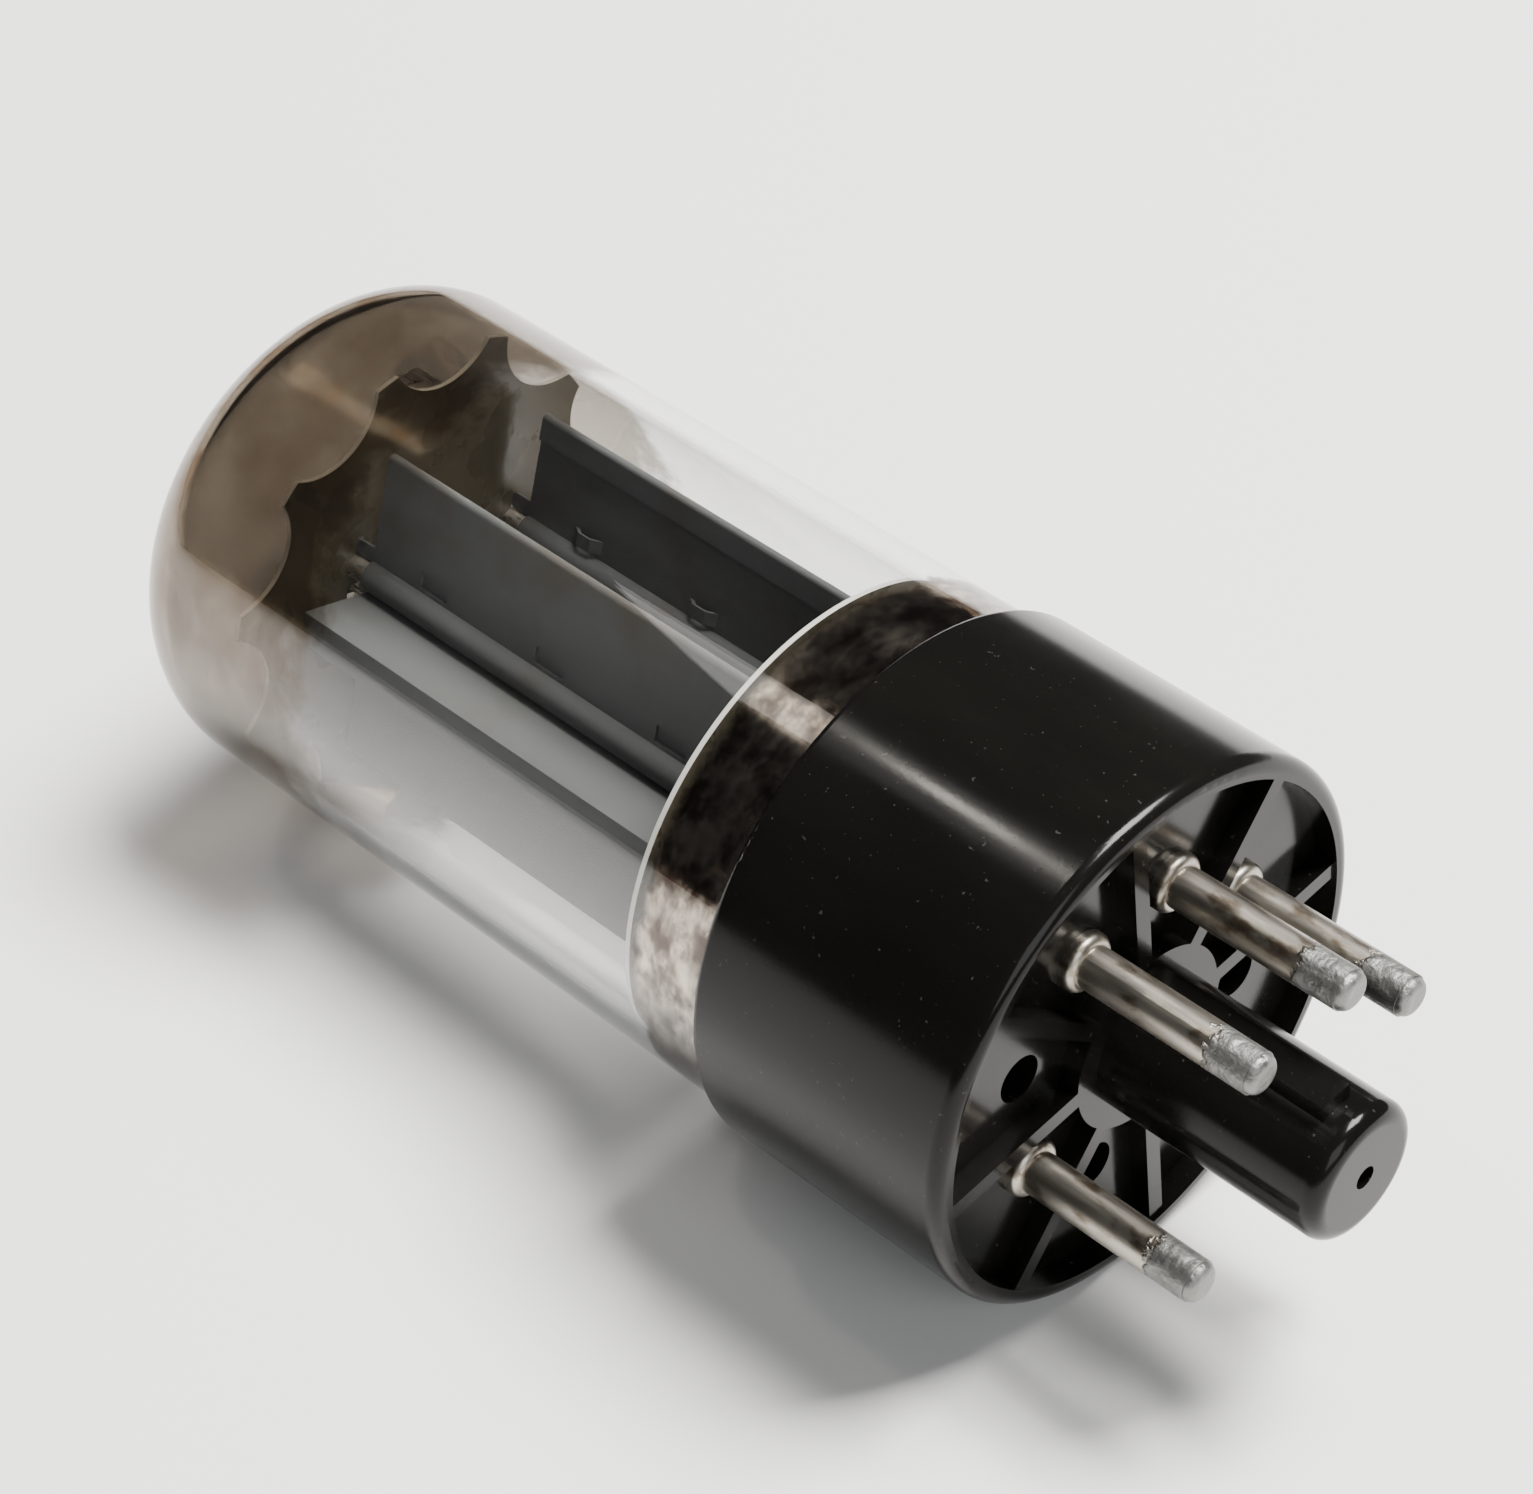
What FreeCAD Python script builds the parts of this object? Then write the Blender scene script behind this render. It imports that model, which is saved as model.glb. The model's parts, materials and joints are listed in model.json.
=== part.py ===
"""Twin-anode rectifier tube on a five-pin octal base, lying on its side.

Design frame: the tube's axis is z, z = 0 is the seating plane (the base's open rim), the dome is
at +z, the pins point to -z and the key of the locating post is at 0 degrees. Octal position k is
at 22.5 + 45 (k - 1) degrees. Two Placements carry pieces to the part's frame: LYING for the base
and glass, and CAGE for the electrode cage, which is turned in the glass to stand square to pin 1.
In the cage the anodes' flat wings run along x and the two anodes stand side by side along y.
"""
import FreeCAD, Part
import Sketcher
import math
import os

from FreeCAD import Placement, Rotation, Vector

DIMENSIONS = {
    # base shell
    "base_rad": 15.75, "base_height": 16.8, "rim_rad": 14.6, "recess": 1.4, "floor_thick": 1.6,
    "skirt_rad": 14.2, "mouth_rad": 15.15, "step_height": 9.0, "rim_round": 0.8, "edge_round": 0.4,
    "post_rad": 3.9, "post_length": 13.5, "post_bore": 2.7, "post_end": 1.5, "post_hole": 0.65,
    "post_round": 0.9, "hub_rad": 5.3, "rib_thick": 1.0, "rib_gap": 0.2,
    "rib_root": 0.3, "key_width": 2.0, "key_rad": 4.8, "key_reach": 11.7,
    # pins
    "pin_rad": 1.18, "pin_bore": 0.75, "pin_circle": 8.725, "pin_reach": 9.7,
    "bead_rad": 1.65, "bead_height": 0.8, "bead_round": 0.47, "flange_rad": 1.9,
    "flange_thick": 0.4, "shank_rad": 1.35, "solder_length": 2.7, "solder_cap": 0.5,
    "solder_rad": 1.1,
    # glass
    "glass_rad": 15.05, "glass_thick": 0.9, "dome_top": 65.5, "crown_rad": 33.0,
    "shoulder_rad": 5.0, "neck_height": 11.5, "seal_height": 7.0, "seal_rad": 12.8,
    "stem_thick": 1.4, "stem_plug": 1.2, "stem_round": 0.6, "cement_top": 16.6,
    "tip_rad": 2.0, "tip_bore": 1.1, "tip_length": 13.5, "tip_cone": 4.0, "tip_nose": 0.4,
    # leads
    "lead_rad": 0.4, "lead_bend": 1.5, "lead_straight": 11.0, "lead_close": 17.0, "lead_lap": 1.6,
    # electrode cage
    "mica_thick": 0.3, "mica_rad": 14.0, "lower_mica": 22.5, "upper_mica": 53.5,
    "scallop_rad": 3.91, "scallop_reach": 15.81, "scallop_turn": -7.6, "teeth": 11,
    "hook_window_half": 0.7, "hook_window_deep": 0.4, "leg_slot_half": 0.3, "leg_slot_deep": 0.7,
    "anode_bottom": 24.0, "anode_top": 52.1, "anode_offset": 5.95, "sheet": 0.2,
    "channel_half": 0.95, "channel_depth": 4.8, "seat_offset": 1.95, "rod_rad": 0.75,
    "wing_half": 9.1, "hem_width": 1.3, "ear_offset": 3.2, "ear_half": 0.45, "ear_bar": 1.9,
    "ear_height": 1.0, "window_half": 0.5, "stitch_offset": 3.6, "stitch_width": 0.8,
    "stitch_length": 2.2, "stitch_pitch": 9.2, "stitch_rise": 0.45, "stitch_thick": 0.15,
    "stitch_foot": 0.35, "stitch_slope": 0.6, "rod_bottom": 19.5, "rod_top": 55.0,
    "ribbon_width": 0.5, "ribbon_thick": 0.1, "ribbon_bottom": 19.5, "ribbon_top": 50.5,
    "ribbon_spread": 2.6, "ribbon_bend": 0.25, "ribbon_shoulder": 0.55,
    "hook_rad": 0.2, "hook_offset": 0.45, "hook_tail": 1.8, "hook_lap": 1.6, "hook_gap": 0.02,
    "spring_half": 3.4, "spring_rise": 0.9, "spring_width": 1.2, "spring_thick": 0.15,
    "spring_gap": 0.1, "link_thick": 0.2, "link_height": 1.2,
    # getters
    "getter_offset": 11.4, "getter_aside": 0.8, "getter_strap": 4.2, "getter_strap_height": 1.0,
    "getter_length": 1.6, "getter_width": 1.2, "getter_height": 0.9, "getter_post": 2.4,
    "getter_post_width": 0.8, "low_getter_offset": 9.4, "low_getter_drop": 2.6,
    "low_getter_arm": 4.0, "low_getter_bend": 0.6,
    # how far a cut runs past the face that it goes through, and a pad into what it joins
    "overrun": 0.1,
}

PIN_POSITIONS = (1, 2, 4, 6, 8)
LEAD_POSITIONS = (2, 4, 6, 8)
ANODE_POSITIONS = (4, 6)
OCTAL_POSITIONS = 8
PIN_PITCH = 45.0
FIRST_PIN = 22.5
ROLL = 6.8
CAGE_TURN = 22.5

doc = FreeCAD.newDocument("rectifier_tube")
sheet = doc.addObject("Spreadsheet::Sheet", "dim")
for row, (alias, value) in enumerate(DIMENSIONS.items(), start=1):
    sheet.set("A%d" % row, alias)
    sheet.set("B%d" % row, str(value))
    sheet.setAlias("B%d" % row, alias)
doc.recompute()

LYING = Placement(Vector(), Rotation(Vector(1, 0, 0), ROLL) * Rotation(Vector(0, 1, 0), -90))
CAGE = LYING * Placement(Vector(), Rotation(Vector(0, 0, 1), CAGE_TURN))

subparts = []


def number(expression):
    """The value that an expression on the sheet has now."""
    return float(sheet.evalExpression(expression))


def keep(piece, label, placement):
    """Name one finished sub-part and put it in its place."""
    piece.Label = label
    piece.Placement = placement
    subparts.append(piece)
    return piece


def pin_placement(position):
    """Where the axis of one octal position stands."""
    turn = Placement(Vector(), Rotation(Vector(0, 0, 1), FIRST_PIN + PIN_PITCH * (position - 1)))
    return LYING * turn * Placement(Vector(number("dim.pin_circle"), 0, 0), Rotation())


def anode_placement(position):
    """Where the anode that belongs to pin 4 or pin 6 stands; pin 6's is turned half round."""
    turn = Placement(Vector(), Rotation(Vector(0, 0, 1), 0 if position == 4 else 180))
    return CAGE * turn * Placement(Vector(0, number("dim.anode_offset"), 0), Rotation())


# Sketches and bodies ---------------------------------------------------------------------------

def origin_feature(body, role):
    return next(item for item in body.Origin.OriginFeatures if item.Role == role)


def new_sketch(body, role, height):
    """An empty sketch on one of the body's own planes, lifted along its normal."""
    sketch = body.newObject("Sketcher::SketchObject", body.Name + "_sketch")
    sketch.AttachmentSupport = [(origin_feature(body, role), "")]
    sketch.MapMode = "FlatFace"
    sketch.setExpression("AttachmentOffset.Base.z", height)
    return sketch


def arc_between(start, end, radius, side):
    """The short arc from start to end; side 1 bends to the left and -1 to the right."""
    chord = end - start
    normal = Vector(-chord.y, chord.x, 0).normalize()
    middle = (start + end) * 0.5
    rise = math.sqrt(max(radius ** 2 - (chord.Length / 2) ** 2, 0.0))
    centre = middle + normal * rise * side
    first, last = (start, end) if side > 0 else (end, start)
    begin = math.atan2(first.y - centre.y, first.x - centre.x)
    finish = math.atan2(last.y - centre.y, last.x - centre.x)
    return Part.ArcOfCircle(Part.Circle(centre, Vector(0, 0, 1), radius), begin, finish)


def pin_down(sketch, edge, point, axis, expression):
    """Fix one coordinate of a corner: on the axis itself, or at a distance from the origin."""
    if abs(number(expression)) < 1e-9:
        along = -2 if axis == "X" else -1
        sketch.addConstraint(Sketcher.Constraint("PointOnObject", edge, point, along))
        return
    rule = Sketcher.Constraint("Distance" + axis, -1, 1, edge, point, number(expression))
    index = sketch.addConstraint(rule)
    sketch.setExpression("Constraints[%d]" % index, expression)


def add_arc(sketch, here, there, corner):
    """An arc fixed by its radius, or by its centre where it is a full half circle."""
    radius = number(corner[2])
    edge = sketch.addGeometry(arc_between(here, there, radius, corner[3]))
    if abs(here.distanceToPoint(there) - 2 * radius) < 1e-6:
        upright = abs(here.x - there.x) < 1e-6
        pin_down(sketch, edge, 3, "X" if upright else "Y", corner[0] if upright else corner[1])
        return
    rule = sketch.addConstraint(Sketcher.Constraint("Radius", edge, radius))
    sketch.setExpression("Constraints[%d]" % rule, corner[2])


def add_outline(sketch, outline):
    """A closed outline of corners (x, y), or (x, y, radius, side) where an arc starts."""
    first = sketch.GeometryCount
    corners = [Vector(number(corner[0]), number(corner[1]), 0) for corner in outline]
    starts = []
    for index, corner in enumerate(outline):
        here = corners[index]
        there = corners[(index + 1) % len(corners)]
        if len(corner) == 4:
            add_arc(sketch, here, there, corner)
            starts.append(1 if corner[3] > 0 else 2)
        else:
            sketch.addGeometry(Part.LineSegment(here, there))
            starts.append(1)
    for index, corner in enumerate(outline):
        edge = first + index
        following = (index + 1) % len(outline)
        finish = 3 - starts[index]
        joint = ("Coincident", edge, finish, first + following, starts[following])
        sketch.addConstraint(Sketcher.Constraint(*joint))
        pin_down(sketch, edge, starts[index], "X", corner[0])
        pin_down(sketch, edge, starts[index], "Y", corner[1])


def add_circle(sketch, centre_x, centre_y, radius):
    """A circle whose centre and radius are expressions."""
    centre = Vector(number(centre_x), number(centre_y), 0)
    circle = Part.Circle(centre, Vector(0, 0, 1), number(radius))
    edge = sketch.addGeometry(circle)
    rule = sketch.addConstraint(Sketcher.Constraint("Radius", edge, number(radius)))
    sketch.setExpression("Constraints[%d]" % rule, radius)
    pin_down(sketch, edge, 3, "X", centre_x)
    pin_down(sketch, edge, 3, "Y", centre_y)


def rectangle(left, right, bottom, top):
    """The outline of a rectangle from four expressions."""
    return [(left, bottom), (right, bottom), (right, top), (left, top)]


def new_body(name):
    return doc.addObject("PartDesign::Body", name)


def revolve(body, outline):
    """Turn an outline in the xz plane round the body's z axis."""
    sketch = new_sketch(body, "XZ_Plane", "0")
    add_outline(sketch, outline)
    feature = body.newObject("PartDesign::Revolution", body.Name + "_turned")
    feature.Profile = sketch
    feature.ReferenceAxis = (sketch, ["V_Axis"])
    feature.Angle = 360
    doc.recompute()
    return feature


def extrude(body, kind, role, height, length, outlines, circles=(), midplane=False):
    """Pad or pocket closed outlines and circles; a pad goes up from its sketch, a pocket down."""
    before = body.Shape.Volume if kind == "Pocket" else 0.0
    sketch = new_sketch(body, role, height)
    for outline in outlines:
        add_outline(sketch, outline)
    for circle in circles:
        add_circle(sketch, *circle)
    feature = body.newObject("PartDesign::" + kind, body.Name + "_" + kind.lower())
    feature.Profile = sketch
    feature.setExpression("Length", length)
    feature.Midplane = midplane
    doc.recompute()
    if kind == "Pocket" and body.Shape.Volume >= before:
        raise RuntimeError("%s cuts nothing" % feature.Name)
    return feature


def repeat_round(body, feature, count):
    """Repeat a feature evenly round the body's z axis."""
    before = body.Shape.Volume
    pattern = body.newObject("PartDesign::PolarPattern", feature.Name + "_round")
    pattern.Originals = [feature]
    pattern.Axis = (origin_feature(body, "Z_Axis"), [""])
    pattern.Angle = 360
    pattern.Occurrences = count
    body.Tip = pattern
    doc.recompute()
    if abs(body.Shape.Volume - before) < 1e-6:
        raise RuntimeError("%s changes nothing" % pattern.Name)
    return pattern


def box(name, length, width, height):
    """A Part::Box with a corner at its origin and sides that are expressions."""
    block = doc.addObject("Part::Box", name)
    for side, size in (("Length", length), ("Width", width), ("Height", height)):
        block.setExpression(side, size)
    return block


def at(across, along, up):
    """A Placement that only moves, from three expressions."""
    return Placement(Vector(number(across), number(along), number(up)), Rotation())


def copies(label, form, placements):
    """One node of separate, identical solids, each a copy of a form in its own place."""
    shapes = []
    for placement in placements:
        shape = form.Shape.copy()
        shape.Placement = placement
        shapes.append(shape)
    group = doc.addObject("Part::Feature", label)
    group.Shape = Part.makeCompound(shapes)
    return keep(group, label, Placement())


def bent_wire(label, route, radius, bend, placement):
    """A round wire along straight runs joined by tangent arcs of one bend radius."""
    edges = []
    start = route[0]
    for before, corner, after in zip(route, route[1:], route[2:]):
        incoming = (corner - before).normalize()
        outgoing = (after - corner).normalize()
        turn = incoming.getAngle(outgoing)
        trim = bend * math.tan(turn / 2)
        into = corner - incoming * trim
        out_of = corner + outgoing * trim
        inward = (outgoing - incoming).normalize()
        middle = corner + inward * (bend / math.cos(turn / 2) - bend)
        edges.append(Part.LineSegment(start, into).toShape())
        edges.append(Part.Arc(into, middle, out_of).toShape())
        start = out_of
    edges.append(Part.LineSegment(start, route[-1]).toShape())
    ring = Part.Circle(route[0], route[1] - route[0], radius).toShape()
    wire = doc.addObject("Part::Feature", label)
    wire.Shape = Part.Wire(edges).makePipeShell([Part.Wire([ring])], True, False)
    return keep(wire, label, placement)


# Base ------------------------------------------------------------------------------------------

def base_shell():
    """Moulded cup with a recessed ribbed floor, a hollow locating post and its key."""
    body = new_body("base_shell")
    inner_floor = "dim.recess + dim.floor_thick"
    post_inside = "dim.post_end - dim.post_length"
    revolve(body, [
        ("dim.post_hole", "-dim.post_length"),
        ("dim.post_rad - dim.post_round", "-dim.post_length", "dim.post_round", 1),
        ("dim.post_rad", "dim.post_round - dim.post_length"),
        ("dim.post_rad", "dim.rib_gap"),
        ("dim.hub_rad", "dim.rib_gap"),
        ("dim.hub_rad", "dim.recess"),
        ("dim.rim_rad", "dim.recess"),
        ("dim.rim_rad", "0"),
        ("dim.base_rad - dim.rim_round", "0", "dim.rim_round", 1),
        ("dim.base_rad", "dim.rim_round"),
        ("dim.base_rad", "dim.base_height - dim.edge_round", "dim.edge_round", 1),
        ("dim.base_rad - dim.edge_round", "dim.base_height"),
        ("dim.mouth_rad", "dim.base_height"),
        ("dim.mouth_rad", "dim.step_height"),
        ("dim.skirt_rad", "dim.step_height"),
        ("dim.skirt_rad", inner_floor),
        ("dim.post_bore", inner_floor),
        ("dim.post_bore", post_inside),
        ("dim.post_hole", post_inside),
    ])
    half_rib = "dim.rib_thick / 2"
    rib = extrude(body, "Pad", "XY_Plane", "dim.rib_gap",
                  "dim.recess - dim.rib_gap + dim.overrun",
                  [rectangle("dim.hub_rad - dim.rib_root", "dim.rim_rad + dim.rib_root",
                             "-" + half_rib, half_rib)])
    repeat_round(body, rib, OCTAL_POSITIONS)
    half_key = "dim.key_width / 2"
    extrude(body, "Pad", "XY_Plane", "-dim.key_reach", "dim.key_reach + dim.recess", [
        rectangle("dim.post_rad - dim.rib_root", "dim.key_rad", "-" + half_key, half_key)])
    hole_x = "dim.pin_circle * cos(%s)" % FIRST_PIN
    hole_y = "dim.pin_circle * sin(%s)" % FIRST_PIN
    holes = extrude(body, "Pocket", "XY_Plane", inner_floor + " + dim.overrun",
                    "dim.floor_thick + 2 * dim.overrun", [],
                    [(hole_x, hole_y, "dim.shank_rad")])
    repeat_round(body, holes, OCTAL_POSITIONS)
    keep(body, "base_shell", LYING)


def pin(position):
    """Hollow contact pin with a thicker shank, held in the floor by a bead and a flange."""
    body = new_body("pin_%d" % position)
    inner_floor = "dim.recess + dim.floor_thick"
    revolve(body, [
        ("dim.pin_bore", "-dim.pin_reach"),
        ("dim.pin_rad", "-dim.pin_reach"),
        ("dim.pin_rad", "dim.recess - dim.bead_height", "dim.bead_round", 1),
        ("dim.bead_rad", "dim.recess - dim.bead_height + dim.bead_round"),
        ("dim.bead_rad", "dim.recess"),
        ("dim.shank_rad", "dim.recess"),
        ("dim.shank_rad", inner_floor),
        ("dim.flange_rad", inner_floor),
        ("dim.flange_rad", inner_floor + " + dim.flange_thick"),
        ("dim.pin_bore", inner_floor + " + dim.flange_thick"),
    ])
    keep(body, "pin_%d" % position, pin_placement(position))


def pin_solder_tips():
    """A rounded cap of solder on the end of every pin, with a plug of it in the pin's bore."""
    form = new_body("solder_form")
    cap_end = "-dim.pin_reach - dim.solder_cap"
    revolve(form, [
        ("0", cap_end),
        ("dim.solder_rad - dim.solder_cap", cap_end, "dim.solder_cap", 1),
        ("dim.solder_rad", "-dim.pin_reach"),
        ("dim.pin_bore", "-dim.pin_reach"),
        ("dim.pin_bore", "dim.solder_length - dim.pin_reach"),
        ("dim.lead_rad", "dim.solder_length - dim.pin_reach"),
        ("dim.lead_rad", "-dim.pin_reach"),
        ("0", "-dim.pin_reach"),
    ])
    copies("pin_solder_tips", form, [pin_placement(position) for position in PIN_POSITIONS])


def base_cement():
    """The ring of cement between the glass and the base."""
    body = new_body("base_cement")
    slope = "(dim.glass_rad - dim.seal_rad) / (dim.neck_height - dim.seal_height)"
    glass_at_step = "dim.seal_rad + (dim.step_height - dim.seal_height) * " + slope
    revolve(body, [
        ("dim.glass_rad", "dim.cement_top"),
        ("dim.glass_rad", "dim.neck_height"),
        (glass_at_step, "dim.step_height"),
        ("dim.mouth_rad", "dim.step_height"),
        ("dim.mouth_rad", "dim.cement_top"),
    ])
    keep(body, "base_cement", LYING)


# Glass -----------------------------------------------------------------------------------------

def glass_envelope():
    """Straight bulb with a squarish dome, drawn in below where it meets the stem."""
    body = new_body("glass_envelope")
    reach = "(dim.crown_rad - dim.shoulder_rad)"
    offset = "(dim.glass_rad - dim.shoulder_rad)"
    shoulder = "dim.dome_top - dim.crown_rad + sqrt(%s ^ 2 - %s ^ 2)" % (reach, offset)
    lean = "%s / %s" % (offset, reach)
    fall = "sqrt(1 - (%s) ^ 2)" % lean
    crown_centre = "dim.dome_top - dim.crown_rad"
    inner_crown = "(dim.crown_rad - dim.glass_thick)"
    revolve(body, [
        ("dim.seal_rad", "dim.seal_height"),
        ("dim.glass_rad", "dim.neck_height"),
        ("dim.glass_rad", shoulder, "dim.shoulder_rad", 1),
        ("dim.crown_rad * %s" % lean, "%s + dim.crown_rad * %s" % (crown_centre, fall),
         "dim.crown_rad", 1),
        ("0", "dim.dome_top"),
        ("0", "dim.dome_top - dim.glass_thick", "dim.crown_rad - dim.glass_thick", -1),
        ("%s * %s" % (inner_crown, lean), "%s + %s * %s" % (crown_centre, inner_crown, fall),
         "dim.shoulder_rad - dim.glass_thick", -1),
        ("dim.glass_rad - dim.glass_thick", shoulder),
        ("dim.glass_rad - dim.glass_thick", "dim.neck_height"),
        ("dim.seal_rad - dim.glass_thick", "dim.seal_height"),
    ])
    keep(body, "glass_envelope", LYING)


def glass_stem():
    """Pressed glass button that closes the bulb, with a bore for every lead."""
    body = new_body("glass_stem")
    underside = "dim.seal_height - dim.stem_thick"
    revolve(body, [
        ("dim.tip_bore", underside),
        ("dim.seal_rad - dim.stem_round", underside, "dim.stem_round", 1),
        ("dim.seal_rad", underside + " + dim.stem_round"),
        ("dim.seal_rad", "dim.seal_height"),
        ("dim.seal_rad - dim.glass_thick", "dim.seal_height"),
        ("dim.seal_rad - dim.glass_thick", "dim.seal_height + dim.stem_plug"),
        ("dim.tip_bore", "dim.seal_height + dim.stem_plug"),
    ])
    circles = []
    for position in LEAD_POSITIONS:
        angle = FIRST_PIN + PIN_PITCH * (position - 1)
        circles.append(("dim.pin_circle * cos(%s)" % angle, "dim.pin_circle * sin(%s)" % angle,
                        "dim.lead_rad"))
    extrude(body, "Pocket", "XY_Plane", "dim.seal_height + dim.stem_plug + dim.overrun",
            "dim.stem_thick + dim.stem_plug + 2 * dim.overrun", [], circles)
    keep(body, "glass_stem", LYING)


def exhaust_tip():
    """The sealed-off pumping tube, which hangs from the stem into the hollow post."""
    body = new_body("exhaust_tip")
    root = "dim.seal_height - dim.stem_thick"
    end = root + " - dim.tip_length"
    revolve(body, [
        ("dim.tip_bore", root),
        ("dim.tip_bore", end + " + dim.tip_cone"),
        ("0", end + " + dim.tip_cone / 2"),
        ("0", end),
        ("dim.tip_nose", end),
        ("dim.tip_rad", end + " + dim.tip_cone"),
        ("dim.tip_rad", root),
    ])
    keep(body, "exhaust_tip", LYING)


# Electrode cage --------------------------------------------------------------------------------

def mica(label, height, scalloped):
    """A mica disc with the openings that the rods, ears and filament legs go through."""
    body = new_body(label)
    cut_from = height + " + dim.mica_thick + dim.overrun"
    cut_depth = "dim.mica_thick + 2 * dim.overrun"
    extrude(body, "Pad", "XY_Plane", height, "dim.mica_thick", [], [("0", "0", "dim.mica_rad")])
    if scalloped:
        scallop = extrude(body, "Pocket", "XY_Plane", cut_from, cut_depth, [],
                          [("dim.scallop_reach * cos(dim.scallop_turn)",
                            "dim.scallop_reach * sin(dim.scallop_turn)", "dim.scallop_rad")])
        repeat_round(body, scallop, int(number("dim.teeth")))
    circles = []
    slots = []
    for side in ("", "-"):
        for row in ("", "-"):
            circles.append((side + "dim.seat_offset", row + "dim.anode_offset", "dim.rod_rad"))
            ear = side + "dim.ear_offset"
            slots.append(rectangle(
                ear + " - dim.ear_half", ear + " + dim.ear_half",
                row + "dim.anode_offset - dim.sheet", row + "dim.anode_offset + dim.sheet"))
    for row in ("", "-"):
        if scalloped:
            slots.append(rectangle("-dim.hook_window_half", "dim.hook_window_half",
                                   row + "dim.anode_offset - dim.hook_window_deep",
                                   row + "dim.anode_offset + dim.hook_window_deep"))
            continue
        for leg in (" - dim.ribbon_spread", " + dim.ribbon_spread"):
            middle = row + "dim.anode_offset" + leg
            slots.append(rectangle("-dim.leg_slot_half", "dim.leg_slot_half",
                                   middle + " - dim.leg_slot_deep",
                                   middle + " + dim.leg_slot_deep"))
    extrude(body, "Pocket", "XY_Plane", cut_from, cut_depth, slots, circles)
    keep(body, label, CAGE)


def mirrored(right):
    """The other side of a fold that is symmetrical about x = 0, taken in reverse order."""
    left = []
    for index in range(len(right) - 1, -1, -1):
        corner = right[index]
        before = right[index - 1] if index > 0 else ()
        place = ("-(%s)" % corner[0], corner[1])
        left.append(place + tuple(before[2:]))
    return left


def anode_windows(body):
    """The six openings that are left in the wings where the stitches are lanced."""
    windows = []
    for side in ("", "-"):
        middle = side + "dim.stitch_offset"
        for step in ("-dim.stitch_pitch", "0", "dim.stitch_pitch"):
            level = "(dim.anode_bottom + dim.anode_top) / 2 + " + step
            windows.append(rectangle(
                middle + " - dim.window_half", middle + " + dim.window_half",
                level + " - dim.stitch_length / 2", level + " + dim.stitch_length / 2"))
    extrude(body, "Pocket", "XZ_Plane", "dim.overrun", "dim.sheet + 2 * dim.overrun", windows)


def anode_ears(body):
    """Ears through both micas; those above the upper mica are bent flat against it."""
    above = "dim.upper_mica + dim.mica_thick"
    for side in ("", "-"):
        ear = side + "dim.ear_offset"
        neck = rectangle(ear + " - dim.ear_half", ear + " + dim.ear_half", "0", "dim.sheet")
        bar = rectangle(ear + " - dim.sheet / 2", ear + " + dim.sheet / 2",
                        "-dim.ear_bar", "dim.ear_bar")
        extrude(body, "Pad", "XY_Plane", "dim.anode_top - dim.overrun",
                above + " - dim.anode_top + dim.overrun + dim.ear_height / 2", [neck])
        extrude(body, "Pad", "XY_Plane", above, "dim.ear_height", [bar])
        extrude(body, "Pad", "XY_Plane", "dim.lower_mica - dim.ear_height",
                "dim.anode_bottom - dim.lower_mica + dim.ear_height + dim.overrun", [neck])


def anode_outer_half(position):
    """The half nearer the glass: channel, rod seats, flat wings, rolled hems and ears."""
    body = new_body("anode_%d_outer_half" % position)
    seat_reach = "sqrt((dim.rod_rad + dim.sheet) ^ 2 - dim.sheet ^ 2)"
    hem = "1.5 * dim.sheet"
    right = [
        ("dim.channel_half", "dim.channel_depth"),
        ("dim.channel_half", "dim.sheet"),
        ("dim.seat_offset - %s" % seat_reach, "dim.sheet", "dim.rod_rad + dim.sheet", -1),
        ("dim.seat_offset + %s" % seat_reach, "dim.sheet"),
        ("dim.wing_half", "dim.sheet", hem, -1),
        ("dim.wing_half", "-2 * dim.sheet"),
        ("dim.wing_half - dim.hem_width", "-2 * dim.sheet"),
        ("dim.wing_half - dim.hem_width", "-dim.sheet"),
        ("dim.wing_half", "-dim.sheet", "dim.sheet / 2", 1),
        ("dim.wing_half", "0"),
        ("dim.seat_offset + dim.rod_rad", "0", "dim.rod_rad", 1),
        ("dim.seat_offset - dim.rod_rad", "0"),
        ("dim.channel_half - dim.sheet", "0"),
        ("dim.channel_half - dim.sheet", "dim.channel_depth - dim.sheet"),
    ]
    extrude(body, "Pad", "XY_Plane", "dim.anode_bottom", "dim.anode_top - dim.anode_bottom",
            [right + mirrored(right)])
    anode_windows(body)
    anode_ears(body)
    keep(body, "anode_%d_outer_half" % position, anode_placement(position))


def anode_inner_half(position):
    """The half nearer the tube's axis, held in the outer half's hems."""
    body = new_body("anode_%d_inner_half" % position)
    seat_reach = "sqrt((dim.rod_rad + dim.sheet) ^ 2 - dim.sheet ^ 2)"
    right = [
        ("dim.channel_half", "-dim.channel_depth"),
        ("dim.channel_half", "-dim.sheet"),
        ("dim.seat_offset - %s" % seat_reach, "-dim.sheet", "dim.rod_rad + dim.sheet", 1),
        ("dim.seat_offset + %s" % seat_reach, "-dim.sheet"),
        ("dim.wing_half", "-dim.sheet"),
        ("dim.wing_half", "0"),
        ("dim.seat_offset + dim.rod_rad", "0", "dim.rod_rad", -1),
        ("dim.seat_offset - dim.rod_rad", "0"),
        ("dim.channel_half - dim.sheet", "0"),
        ("dim.channel_half - dim.sheet", "dim.sheet - dim.channel_depth"),
    ]
    extrude(body, "Pad", "XY_Plane", "dim.anode_bottom", "dim.anode_top - dim.anode_bottom",
            [right + mirrored(right)])
    keep(body, "anode_%d_inner_half" % position, anode_placement(position))


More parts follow.
